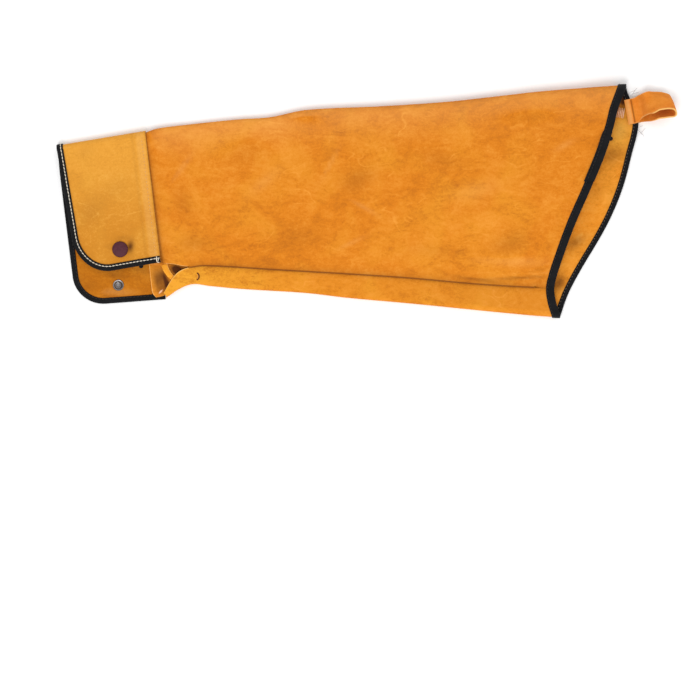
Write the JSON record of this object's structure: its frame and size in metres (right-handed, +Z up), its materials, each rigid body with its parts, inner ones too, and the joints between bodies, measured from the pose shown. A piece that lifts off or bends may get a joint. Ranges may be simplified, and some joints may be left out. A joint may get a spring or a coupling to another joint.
{
  "type": "welding sleeve",
  "caption": "Welding sleeve of golden split cowhide with a bound armhole, a hanging loop and a snap cuff, lying flat.",
  "frame": {"origin": "bottom centre of the box of the sleeve as it lies flat on a table", "axes": "+X from the open end of the cuff to the armhole, +Y towards the long folded edge, +Z up"},
  "size_m": [0.6186, 0.2344, 0.029],
  "materials": {
    "body_suede": "napped split cowhide",
    "cuff_suede": "napped split cowhide, paler",
    "binding": "folded woven tape, lock stitched",
    "cap_enamel": "dark bronze enamel",
    "snap_nickel": "nickel plated"
  },
  "bodies": {
    "root": {"sleeve_body": "body_suede", "cuff_panel": "cuff_suede", "cuff_binding": "binding", "armhole_binding": "binding", "hanging_loop": "body_suede", "snap_cap": "cap_enamel", "snap_socket": "snap_nickel", "snap_stud": "snap_nickel", "snap_post": "snap_nickel"}
  },
  "joints": []
}
